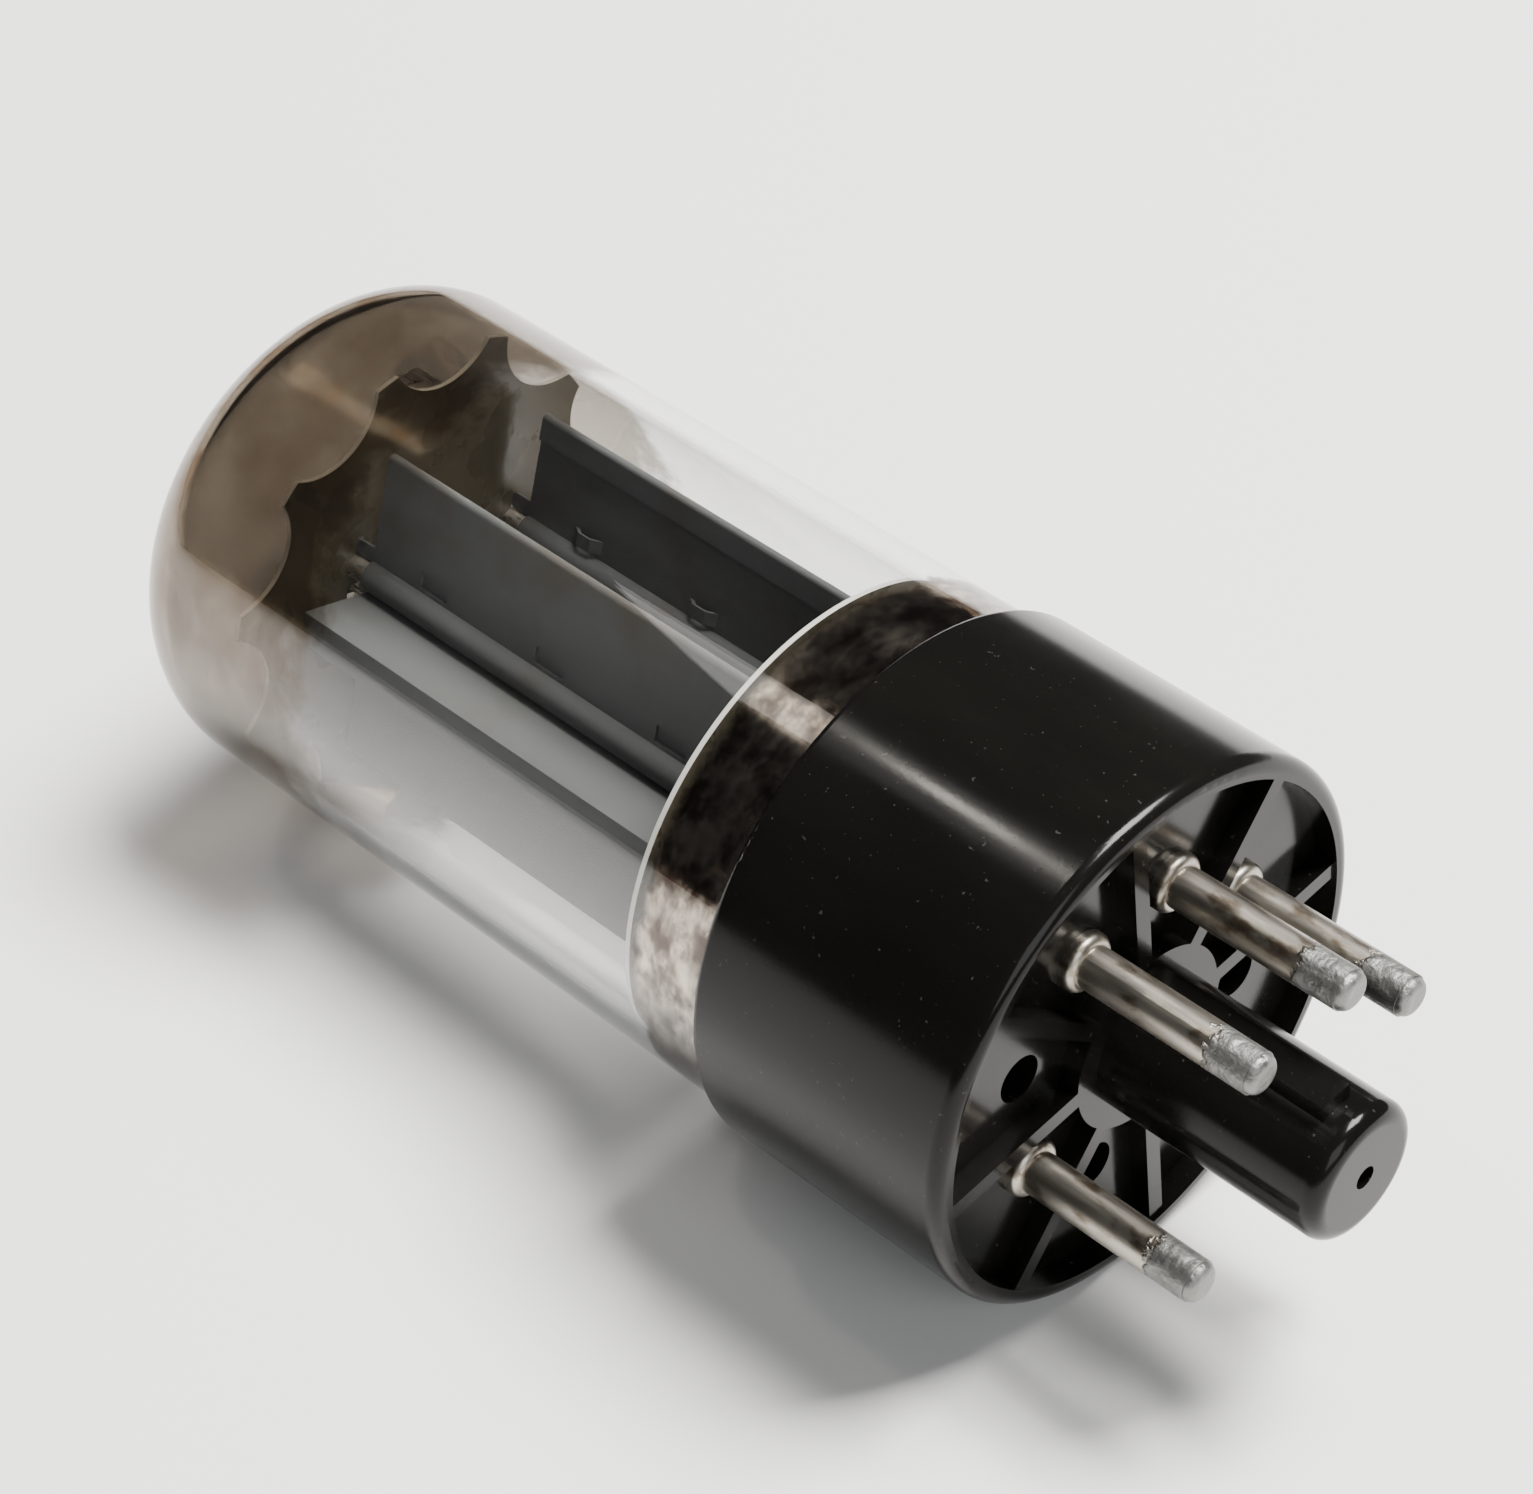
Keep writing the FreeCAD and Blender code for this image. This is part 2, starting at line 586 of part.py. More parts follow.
def anode_rods(position):
    """Two support rods per anode, clasped by the seats and carried by both micas."""
    for index, side in enumerate(("-", ""), start=1):
        label = "anode_%d_rod_%d" % (position, index)
        bar = doc.addObject("Part::Cylinder", label)
        bar.setExpression("Radius", "dim.rod_rad")
        bar.setExpression("Height", "dim.rod_top - dim.rod_bottom")
        foot = at(side + "dim.seat_offset", "0", "dim.rod_bottom")
        keep(bar, label, anode_placement(position) * foot)


def anode_stitches(position):
    """Six lanced stitches that fasten the two halves, raised on the inner side."""
    form = doc.getObject("stitch_form")
    if form is None:
        form = new_body("stitch_form")
        half = "dim.stitch_length / 2"
        rise = "-dim.sheet - dim.stitch_rise"
        inside = rise + " + dim.stitch_thick"
        slope = "%s - dim.stitch_slope"
        extrude(form, "Pad", "YZ_Plane", "0", "dim.stitch_width", [[
            ("-dim.sheet", "-" + half),
            ("-dim.sheet", "-%s + dim.stitch_foot" % half),
            (inside, "-(%s - dim.stitch_thick)" % (slope % half)),
            (inside, "%s - dim.stitch_thick" % (slope % half)),
            ("-dim.sheet", "%s - dim.stitch_foot" % half),
            ("-dim.sheet", half),
            (rise, slope % half),
            (rise, "-(%s)" % (slope % half)),
        ]], midplane=True)
    places = []
    level = number("(dim.anode_bottom + dim.anode_top) / 2")
    for side in (-1, 1):
        for step in (-1, 0, 1):
            place = Vector(side * number("dim.stitch_offset"), 0,
                           level + step * number("dim.stitch_pitch"))
            places.append(anode_placement(position) * Placement(place, Rotation()))
    copies("anode_%d_stitches" % position, form, places)


def filament(position):
    """Oxide-coated ribbon, an inverted V inside one anode's channel."""
    body = new_body("filament_%d" % position)
    outer = "dim.ribbon_spread + dim.ribbon_width / 2"
    inner = "dim.ribbon_spread - dim.ribbon_width / 2"
    extrude(body, "Pad", "YZ_Plane", "0", "dim.ribbon_thick", [[
        ("-(%s)" % outer, "dim.ribbon_bottom"),
        ("-(%s)" % inner, "dim.ribbon_bottom"),
        ("-dim.ribbon_bend", "dim.ribbon_top - dim.ribbon_width"),
        ("dim.ribbon_bend", "dim.ribbon_top - dim.ribbon_width"),
        (inner, "dim.ribbon_bottom"),
        (outer, "dim.ribbon_bottom"),
        ("dim.ribbon_shoulder", "dim.ribbon_top"),
        ("-dim.ribbon_shoulder", "dim.ribbon_top"),
    ]], midplane=True)
    keep(body, "filament_%d" % position, anode_placement(position))


def filament_hook(position):
    """Wire hook under the filament's bend, hung from its leaf spring above the upper mica."""
    aside = number("dim.hook_offset")
    lap = number("dim.hook_lap")
    low = number("dim.ribbon_top - dim.ribbon_width - dim.hook_rad - dim.hook_gap")
    seat = "dim.upper_mica + dim.mica_thick + dim.spring_rise"
    high = number(seat + " + dim.hook_rad + dim.spring_gap")
    route = [
        Vector(aside, 0, low + number("dim.hook_tail")),
        Vector(aside, 0, low),
        Vector(-aside, 0, low),
        Vector(-aside, 0, high),
        Vector(-aside, lap, high),
    ]
    bent_wire("filament_%d_hook" % position, route, number("dim.hook_rad"),
              number("1.5 * dim.hook_rad"), anode_placement(position))


def filament_spring(position):
    """Bowed leaf spring that keeps one filament tight."""
    body = new_body("filament_%d_spring" % position)
    seat = "dim.upper_mica + dim.mica_thick"
    crown = "(dim.spring_rise - dim.spring_thick)"
    bow = "(dim.spring_half ^ 2 + %s ^ 2) / (2 * %s)" % (crown, crown)
    extrude(body, "Pad", "XZ_Plane", "0", "dim.spring_width", [[
        ("-dim.spring_half", seat),
        ("-dim.spring_half", seat + " + dim.spring_thick", bow, -1),
        ("0", seat + " + dim.spring_rise", bow, -1),
        ("dim.spring_half", seat + " + dim.spring_thick"),
        ("dim.spring_half", seat, bow, 1),
        ("0", "%s + %s" % (seat, crown), bow, 1),
    ]], midplane=True)
    extrude(body, "Pocket", "XY_Plane", seat + " + dim.spring_rise + dim.overrun",
            "dim.spring_rise + 2 * dim.overrun", [],
            [("0", "dim.hook_offset", "dim.hook_rad + dim.spring_gap")])
    across = Placement(Vector(), Rotation(Vector(0, 0, 1), 90))
    keep(body, "filament_%d_spring" % position, anode_placement(position) * across)


def filament_link():
    """Strip that joins the two filaments' inner legs below the lower mica."""
    reach = "(dim.anode_offset - dim.ribbon_spread + dim.ribbon_width)"
    strip = box("filament_link", "dim.link_thick", "2 * " + reach, "dim.link_height")
    corner = at("dim.ribbon_thick / 2", "-" + reach, "dim.ribbon_bottom")
    keep(strip, "filament_link", CAGE * corner)


def lead(position):
    """Wire from a pin's solder through the stem to the electrode that the pin serves."""
    angle = math.radians(FIRST_PIN + PIN_PITCH * (position - 1) - CAGE_TURN)
    across = number("dim.pin_circle") * math.cos(angle)
    along = number("dim.pin_circle") * math.sin(angle)
    row = 1 if position in (2, 4) else -1
    if position in (4, 6):
        end_x = -number("dim.seat_offset + dim.rod_rad + dim.lead_rad")
        end_y = row * number("dim.anode_offset")
    else:
        end_x = number("dim.ribbon_thick / 2 + dim.lead_rad")
        end_y = row * number("dim.anode_offset + dim.ribbon_spread")
    route = [
        Vector(across, along, number("-dim.pin_reach")),
        Vector(across, along, number("dim.lead_straight")),
        Vector(end_x, end_y, number("dim.lead_close")),
        Vector(end_x, end_y, number("dim.rod_bottom + dim.lead_lap")),
    ]
    bent_wire("lead_%d" % position, route, number("dim.lead_rad"), number("dim.lead_bend"), CAGE)


def upper_getter():
    """Strap on the upper mica near its edge, with the small getter box that it carries."""
    strap = box("getter_strap", "dim.sheet", "dim.getter_strap", "dim.getter_strap_height")
    post = box("getter_post", "dim.sheet", "dim.getter_post_width", "dim.getter_post")
    post.setExpression("Placement.Base.y", "dim.getter_strap - dim.getter_post_width")
    both = doc.addObject("Part::Fuse", "upper_getter_strap")
    both.Base = strap
    both.Tool = post
    foot = at("dim.getter_offset", "-dim.getter_strap - dim.getter_aside",
              "dim.upper_mica + dim.mica_thick")
    keep(both, "upper_getter_strap", CAGE * foot)
    channel = box("upper_getter_box", "dim.getter_width", "dim.getter_length",
                  "dim.getter_height")
    hold = at("-dim.getter_width", "dim.getter_strap - dim.getter_length",
              "dim.getter_post - dim.getter_height")
    keep(channel, "upper_getter_box", CAGE * foot * hold)


def lower_getter():
    """Second getter, hung below the lower mica on a bent wire."""
    level = "dim.lower_mica - dim.low_getter_drop"
    start = Vector(number("dim.low_getter_offset"), -number("dim.low_getter_arm"),
                   number("dim.lower_mica"))
    corner = Vector(start.x, start.y, number(level))
    end = Vector(start.x, 0, corner.z)
    bent_wire("lower_getter_wire", [start, corner, end], number("dim.hook_rad"),
              number("dim.low_getter_bend"), CAGE)
    channel = box("lower_getter_box", "dim.getter_width", "2 * dim.getter_length",
                  "dim.getter_height")
    hold = at("dim.low_getter_offset - dim.getter_width / 2", "0",
              level + " - dim.getter_height / 2")
    keep(channel, "lower_getter_box", CAGE * hold)


def check_document():
    """Stop on any failed object and on any sub-part without one or more sound solids."""
    failed = [item.Name for item in doc.Objects if {"Invalid", "Error"} & set(item.State)]
    if failed:
        raise RuntimeError("failed objects: " + ", ".join(failed))
    for piece in subparts:
        shape = piece.Shape
        if shape.isNull() or not shape.isValid() or shape.Volume <= 0:
            raise RuntimeError("bad shape: " + piece.Label)


def export_subparts():
    os.makedirs("parts", exist_ok=True)
    for piece in subparts:
        piece.Shape.exportStep("parts/%s.step" % piece.Label)
        print("%-24s %8.2f mm3" % (piece.Label, piece.Shape.Volume))


base_shell()
for position in PIN_POSITIONS:
    pin(position)
pin_solder_tips()
base_cement()
glass_envelope()
glass_stem()
exhaust_tip()
mica("lower_mica", "dim.lower_mica", False)
mica("upper_mica", "dim.upper_mica", True)
for position in ANODE_POSITIONS:
    anode_outer_half(position)
    anode_inner_half(position)
    anode_stitches(position)
    anode_rods(position)
    filament(position)
    filament_hook(position)
    filament_spring(position)
filament_link()
for position in LEAD_POSITIONS:
    lead(position)
upper_getter()
lower_getter()
doc.recompute()
check_document()
export_subparts()
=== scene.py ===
"""Looks of the rectifier tube: glass, getter films, mica, carbonised anodes, base and pins.

Everything is in metres in the part's own frame: the tube's axis is X, its pins point to +X, its
dome to -X, and it lies on a pale floor. A height along the tube is counted from the seating plane
at X = 0 towards the dome, so a point of that height has X = -height.
"""

import json
import math

import bpy
from mathutils import Euler, Matrix, Vector


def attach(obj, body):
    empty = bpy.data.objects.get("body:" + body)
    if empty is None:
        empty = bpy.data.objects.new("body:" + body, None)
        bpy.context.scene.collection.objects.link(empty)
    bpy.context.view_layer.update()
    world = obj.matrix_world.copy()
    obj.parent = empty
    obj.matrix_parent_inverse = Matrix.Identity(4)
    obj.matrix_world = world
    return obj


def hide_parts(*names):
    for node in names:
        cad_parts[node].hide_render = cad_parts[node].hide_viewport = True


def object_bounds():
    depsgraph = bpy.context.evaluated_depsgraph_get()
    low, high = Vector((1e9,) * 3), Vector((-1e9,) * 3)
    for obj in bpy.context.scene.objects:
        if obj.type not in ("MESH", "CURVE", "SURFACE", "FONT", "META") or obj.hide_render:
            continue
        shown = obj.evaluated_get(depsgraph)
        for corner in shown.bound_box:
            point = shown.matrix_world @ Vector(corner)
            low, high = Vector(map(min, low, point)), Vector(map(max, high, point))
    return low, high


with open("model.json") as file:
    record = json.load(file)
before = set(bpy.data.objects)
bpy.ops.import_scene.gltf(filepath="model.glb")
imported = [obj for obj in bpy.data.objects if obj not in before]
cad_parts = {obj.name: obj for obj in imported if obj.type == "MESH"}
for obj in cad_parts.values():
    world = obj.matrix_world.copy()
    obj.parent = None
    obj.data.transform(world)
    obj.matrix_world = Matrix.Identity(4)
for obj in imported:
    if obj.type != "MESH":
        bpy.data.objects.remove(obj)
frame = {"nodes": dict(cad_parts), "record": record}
cad_low, cad_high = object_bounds()

MM = 0.001
NODES = frame["nodes"]

# The bulb, drawn again from the CAD's dimensions. Heights are above the seating plane.
GLASS_RADIUS = 15.05 * MM
GLASS_WALL = 0.9 * MM
DOME_TOP = 65.5 * MM
CROWN_RADIUS = 33.0 * MM
SHOULDER_RADIUS = 5.0 * MM
NECK_HEIGHT = 11.5 * MM
SEAL_HEIGHT = 7.0 * MM
SEAL_RADIUS = 12.8 * MM

# Turned meshes: steps round the axis, steps along each stretch of an outline, and the radius at
# which an outline stops short of the axis.
LATHE_STEPS = 192
WALL_STEPS = 24
SHOULDER_STEPS = 20
CROWN_STEPS = 24
BAND_STEPS = 12
AXIS_GAP = 0.02 * MM

# The getter films lie in the glass, this far outside its inner face. A mesh starts and ends at
# plain heights. Its material fades over the two heights of an edge, and clouds make that edge
# ragged by adding up to so much to the height. On the crown the dome's film turns from smoke to
# metal.
FILM_DEPTH = 0.03 * MM
DOME_FILM_START = 45.0 * MM
DOME_EDGE = (52.6 * MM, 55.8 * MM)
DOME_RAGGED = 11.0 * MM
CROWN_EDGE = (58.5 * MM, 63.0 * MM)
BAND_FILM_START = 13.0 * MM
BAND_FILM_END = 22.4 * MM
BAND_EDGE = (22.6 * MM, 23.4 * MM)
BAND_RAGGED = 2.4 * MM

# The coat of solder on the pins: how far past the seating plane it starts, over what length it
# fades in, and how much clouds make its edge ragged.
SOLDER_START = 8.2 * MM
SOLDER_FADE = 0.5 * MM
SOLDER_RAGGED = 2.4 * MM

# Depths of the surfaces' relief.
MOULDED_DEPTH = 0.002 * MM
ROLLED_DEPTH = 0.01 * MM
CRUST_DEPTH = 0.03 * MM
CEMENT_DEPTH = 0.05 * MM
SOLDER_DEPTH = 0.16 * MM

# Colours and a noise scale that two materials share.
SOLDER_DARK = (0.10, 0.10, 0.095)
SOLDER_LIGHT = (0.30, 0.30, 0.285)
SOLDER_LUMPS = 1500

# Mica: how much it hides of what lies behind it, and the share of its normal along the tube up to
# which a spot is all edge and from which it is all face.
MICA_COVER = 0.75
MICA_EDGE = 0.3
MICA_FACE = 0.7

# Noise keeps to the middle of 0 to 1, so a whole change is spread over this part of it.
NOISE_LOW = 0.3
NOISE_HIGH = 0.7

# The camera.
CAMERA_PLACE = Vector((89.22, -115.52, 146.55)) * MM
CAMERA_AZIMUTH = math.radians(45.16)
CAMERA_ELEVATION = math.radians(41.23)
CAMERA_ROLL = math.radians(-0.81)
LENS = 96.7
SENSOR = 36.0
CLIP = (0.01, 10.0)

# The floor and the light, in metres and watts.
FLOOR_REACH = 1.5
LAMP_TARGET = (-0.02, 0, 0)
WORLD_STRENGTH = 0.06


# Node helpers ----------------------------------------------------------------------------------

def feed(tree, source, target):
    """Link an output socket to an input socket."""
    tree.links.new(source, target)


def add(tree, kind, **settings):
    """A shader node of one kind with some of its settings."""
    node = tree.nodes.new("ShaderNode" + kind)
    for name, value in settings.items():
        setattr(node, name, value)
    return node


def new_material(name, **values):
    """A material with a Principled shader and plain values on its sockets."""
    material = bpy.data.materials.new(name)
    material.use_nodes = True
    tree = material.node_tree
    shader = tree.nodes["Principled BSDF"]
    for socket, value in values.items():
        shader.inputs[socket.replace("_", " ")].default_value = value
    return material, tree, shader


def noise(tree, scale, detail=4.0, stretch=(1, 1, 1), rough=0.5, seed=0.0):
    """Noise over the object, so many features to the metre, squeezed by stretch."""
    coords = add(tree, "TexCoord")
    mapping = add(tree, "Mapping")
    mapping.inputs["Scale"].default_value = stretch
    mapping.inputs["Location"].default_value = (seed, seed, seed)
    texture = add(tree, "TexNoise")
    texture.inputs["Scale"].default_value = scale
    texture.inputs["Detail"].default_value = detail
    texture.inputs["Roughness"].default_value = rough
    feed(tree, coords.outputs["Object"], mapping.inputs["Vector"])
    feed(tree, mapping.outputs["Vector"], texture.inputs["Vector"])
    return texture.outputs["Fac"]


def height_along(tree):
    """Height along the tube above the seating plane, in metres."""
    coords = add(tree, "TexCoord")
    parts = add(tree, "SeparateXYZ")
    feed(tree, coords.outputs["Object"], parts.inputs["Vector"])
    return maths(tree, "MULTIPLY", parts.outputs["X"], -1.0)


def maths(tree, operation, first, second=None, third=None):
    """A Math node; each input is a socket or a number."""
    node = add(tree, "Math", operation=operation)
    for index, value in enumerate((first, second, third)):
        if value is None:
            continue
        if isinstance(value, (int, float)):
            node.inputs[index].default_value = value
        else:
            feed(tree, value, node.inputs[index])
    return node.outputs["Value"]


def step(tree, value, start, end):
    """0 below start, 1 above end, smooth between."""
    node = add(tree, "MapRange", interpolation_type="SMOOTHSTEP")
    feed(tree, value, node.inputs["Value"])
    node.inputs["From Min"].default_value = start
    node.inputs["From Max"].default_value = end
    return node.outputs["Result"]


def blend_colours(tree, factor, first, second):
    """Mix two colours, each a socket or a plain colour, by a factor. A Mix node has sockets for
    every data type: 0 is the factor, 6 and 7 are the colours, and 2 is the mixed colour."""
    node = add(tree, "Mix", data_type="RGBA")
    for target, value in zip((node.inputs[0], node.inputs[6], node.inputs[7]),
                             (factor, first, second)):
        if isinstance(value, tuple):
            target.default_value = (*value, 1.0)
        elif isinstance(value, (int, float)):
            target.default_value = value
        else:
            feed(tree, value, target)
    return node.outputs[2]


def relief(tree, shader, source, depth):
    """Bump from a 0 to 1 source, so many metres deep."""
    node = add(tree, "Bump")
    node.inputs["Strength"].default_value = 1.0
    node.inputs["Distance"].default_value = depth
    feed(tree, source, node.inputs["Height"])
    feed(tree, node.outputs["Normal"], shader.inputs["Normal"])


def vary(tree, target, source, low, high):
    """Drive a number socket between low and high by a noise."""
    node = add(tree, "MapRange")
    node.inputs["From Min"].default_value = NOISE_LOW
    node.inputs["From Max"].default_value = NOISE_HIGH
    node.inputs["To Min"].default_value = low
    node.inputs["To Max"].default_value = high
    feed(tree, source, node.inputs["Value"])
    feed(tree, node.outputs["Result"], target)


def clear_sheet(tree, tint=(1.0, 1.0, 1.0)):
    """What is seen straight through, in a plain tint."""
    node = add(tree, "BsdfTransparent")
    node.inputs["Color"].default_value = (*tint, 1.0)
    return node.outputs["BSDF"]


def blend_shaders(tree, factor, first, second):
    """Mix two shaders by a factor, which is a socket or a number."""
    node = add(tree, "MixShader")
    if isinstance(factor, (int, float)):
        node.inputs["Fac"].default_value = factor
    else:
        feed(tree, factor, node.inputs["Fac"])
    feed(tree, first, node.inputs[1])
    feed(tree, second, node.inputs[2])
    return node.outputs["Shader"]


def show(tree, surface):
    """Make a shader the material's surface."""
    feed(tree, surface, tree.nodes["Material Output"].inputs["Surface"])


def let_lamps_through(tree, shader, tint):
    """Shadow and diffuse rays pass straight through a clear shader with a plain tint."""
    paths = add(tree, "LightPath")
    passing = maths(tree, "MAXIMUM", paths.outputs["Is Shadow Ray"],
                    paths.outputs["Is Diffuse Ray"])
    show(tree, blend_shaders(tree, passing, shader.outputs["BSDF"], clear_sheet(tree, tint)))


# Materials -------------------------------------------------------------------------------------

def clear_glass(name, tint):
    """Clear glass that does not darken what the lamps light through it."""
    material, tree, shader = new_material(
        name, Base_Color=(*tint, 1.0), Roughness=0.0, IOR=1.5, Transmission_Weight=1.0,
        Specular_IOR_Level=0.2)
    let_lamps_through(tree, shader, (0.95, 0.95, 0.95))
    return material


def black_phenolic():
    """Polished black moulding with a faint swirl, dust and a softer sheen in places."""
    material, tree, shader = new_material("black_phenolic", IOR=1.5, Specular_IOR_Level=0.16)
    swirl = noise(tree, 220, 4.0, stretch=(0.4, 1, 1))
    fine = noise(tree, 5200, 4.0, rough=0.6)
    dust = step(tree, noise(tree, 3200, 2.0, seed=3.0), 0.70, 0.76)
    body = blend_colours(tree, swirl, (0.0024, 0.0025, 0.0023), (0.0062, 0.0058, 0.0048))
    feed(tree, blend_colours(tree, dust, body, (0.03, 0.03, 0.026)), shader.inputs["Base Color"])
    vary(tree, shader.inputs["Roughness"], swirl, 0.10, 0.20)
    relief(tree, shader, fine, MOULDED_DEPTH)
    return material


def plated_pin():
    """Worn nickel plate with drawing marks, brown stains and a coat of solder near the end."""
    material, tree, shader = new_material("plated_pin", Metallic=1.0)
    streaks = noise(tree, 2600, 5.0, stretch=(0.12, 1, 1))
    patches = noise(tree, 900, 4.0, stretch=(0.5, 1, 1), seed=5.0)
    lumps = noise(tree, SOLDER_LUMPS, 4.0)
    stain = step(tree, patches, 0.50, 0.70)
    plate = blend_colours(tree, stain, (0.40, 0.37, 0.32), (0.15, 0.12, 0.085))
    coat = blend_colours(tree, lumps, SOLDER_DARK, SOLDER_LIGHT)
    reach = maths(tree, "MULTIPLY", height_along(tree), -1.0)
    ragged = maths(tree, "MULTIPLY_ADD", lumps, SOLDER_RAGGED, reach)
    soldered = step(tree, ragged, SOLDER_START, SOLDER_START + SOLDER_FADE)
    feed(tree, blend_colours(tree, soldered, plate, coat), shader.inputs["Base Color"])
    dull = maths(tree, "MULTIPLY_ADD", soldered, 0.18, 0.26)
    feed(tree, maths(tree, "MULTIPLY_ADD", streaks, 0.2, dull), shader.inputs["Roughness"])
    bumps = maths(tree, "MULTIPLY", lumps, soldered)
    relief(tree, shader, maths(tree, "MULTIPLY_ADD", streaks, 0.12, bumps), SOLDER_DEPTH)
    return material


def solder():
    """Dull grey solder with frozen lumps, the same as the coat on the pins."""
    material, tree, shader = new_material("solder", Metallic=1.0)
    lumps = noise(tree, SOLDER_LUMPS, 4.0)
    vary(tree, shader.inputs["Roughness"], lumps, 0.35, 0.62)
    colour = blend_colours(tree, lumps, SOLDER_DARK, SOLDER_LIGHT)
    feed(tree, colour, shader.inputs["Base Color"])
    relief(tree, shader, lumps, SOLDER_DEPTH)
    return material


def cement():
    """Brown grainy basing cement."""
    material, tree, shader = new_material("cement", Roughness=0.9)
    grain = noise(tree, 3000, 4.0)
    colour = blend_colours(tree, grain, (0.16, 0.11, 0.06), (0.42, 0.33, 0.2))
    feed(tree, colour, shader.inputs["Base Color"])
    relief(tree, shader, grain, CEMENT_DEPTH)
    return material


def mica_sheet():
    """Cloudy brown mica, soiled on its faces and pale along its broken edges."""
    material, tree, shader = new_material("mica_sheet", IOR=1.56)
    clouds = noise(tree, 260, 5.0)
    face = blend_colours(tree, clouds, (0.045, 0.038, 0.024), (0.15, 0.13, 0.085))
    coords = add(tree, "TexCoord")
    parts = add(tree, "SeparateXYZ")
    feed(tree, coords.outputs["Normal"], parts.inputs["Vector"])
    flatness = maths(tree, "ABSOLUTE", parts.outputs["X"])
    edge = maths(tree, "SUBTRACT", 1.0, step(tree, flatness, MICA_EDGE, MICA_FACE))
    colour = blend_colours(tree, edge, face, (0.80, 0.78, 0.70))
    feed(tree, colour, shader.inputs["Base Color"])
    vary(tree, shader.inputs["Roughness"], clouds, 0.18, 0.42)
    through = clear_sheet(tree, (0.30, 0.22, 0.13))
    show(tree, blend_shaders(tree, MICA_COVER, through, shader.outputs["BSDF"]))
    return material


def carbonised_sheet():
    """Matte dark grey anode sheet, finely grained, a little rubbed and stained."""
    material, tree, shader = new_material("carbonised_sheet", Specular_IOR_Level=0.22)
    grain = noise(tree, 9000, 3.0)
    rolled = noise(tree, 700, 4.0, stretch=(0.08, 1, 1), seed=2.0)
    stain = step(tree, noise(tree, 160, 4.0, seed=7.0), 0.5, 0.75)
    grey = blend_colours(tree, rolled, (0.050, 0.052, 0.051), (0.095, 0.097, 0.094))
    colour = blend_colours(tree, maths(tree, "MULTIPLY", stain, 0.5), grey, (0.056, 0.044, 0.030))
    feed(tree, colour, shader.inputs["Base Color"])
    vary(tree, shader.inputs["Roughness"], rolled, 0.55, 0.8)
    relief(tree, shader, grain, ROLLED_DEPTH)
    return material


def bright_metal(name, colour, roughness):
    """Plain drawn or rolled metal, duller in streaks along the tube."""
    material, tree, shader = new_material(name, Metallic=1.0)
    marks = noise(tree, 2400, 4.0, stretch=(0.2, 1, 1))
    dull = tuple(0.55 * channel for channel in colour)
    feed(tree, blend_colours(tree, marks, dull, colour), shader.inputs["Base Color"])
    vary(tree, shader.inputs["Roughness"], marks, roughness * 0.7, roughness * 1.4)
    relief(tree, shader, marks, ROLLED_DEPTH)
    return material


def oxide_coating():
    """White crumbly coating of the filaments."""
    material, tree, shader = new_material("oxide_coating", Roughness=0.95)
    crust = noise(tree, 6000, 4.0)
    colour = blend_colours(tree, crust, (0.6, 0.58, 0.53), (0.86, 0.85, 0.82))
    feed(tree, colour, shader.inputs["Base Color"])
    relief(tree, shader, crust, CRUST_DEPTH)
    return material


def getter_film(name, dark, bright, smoke, solid, present):
    """Mirror film on the glass: solid(tree) says where it is metal and not just a smoky tint,
    and present(tree) where there is any film at all, both from 0 to 1."""
    material, tree, shader = new_material(name, Metallic=1.0)
    clouds = noise(tree, 240, 5.0, seed=1.0)
    patches = step(tree, noise(tree, 420, 5.0, stretch=(1.6, 1, 1), rough=0.65), 0.36, 0.68)
    feed(tree, blend_colours(tree, patches, dark, bright), shader.inputs["Base Color"])
    vary(tree, shader.inputs["Roughness"], clouds, 0.04, 0.14)
    film = blend_shaders(tree, solid(tree), clear_sheet(tree, smoke), shader.outputs["BSDF"])
    show(tree, blend_shaders(tree, present(tree), clear_sheet(tree), film))
    return material


def dome_solid(tree):
    """Smoky over the shoulder, nearly solid on the crown above the getter."""
    crown = step(tree, height_along(tree), *CROWN_EDGE)
    clouds = step(tree, noise(tree, 90, 4.0, seed=4.0), 0.38, 0.66)
    cloudy = maths(tree, "MULTIPLY_ADD", clouds, 0.16, 0.20)
    return maths(tree, "MULTIPLY_ADD", crown, 0.48, cloudy)


def dome_present(tree):
    """From the crown down to a ragged edge just past the upper mica."""
    clouds = noise(tree, 230, 5.0, seed=2.0, rough=0.62)
    ragged = maths(tree, "MULTIPLY_ADD", clouds, DOME_RAGGED, height_along(tree))
    return step(tree, ragged, *DOME_EDGE)


def band_solid(tree):
    """Nearly opaque, a little worn in patches."""
    wear = step(tree, noise(tree, 330, 5.0, seed=6.0), 0.40, 0.62)
    return maths(tree, "MULTIPLY_ADD", wear, 0.34, 0.62)


def band_present(tree):
    """From the base up to a ragged edge under the lower mica."""
    clouds = noise(tree, 420, 5.0, seed=8.0, rough=0.62)
    ragged = maths(tree, "MULTIPLY_ADD", clouds, BAND_RAGGED, height_along(tree))
    return maths(tree, "SUBTRACT", 1.0, step(tree, ragged, *BAND_EDGE))


# Geometry --------------------------------------------------------------------------------------

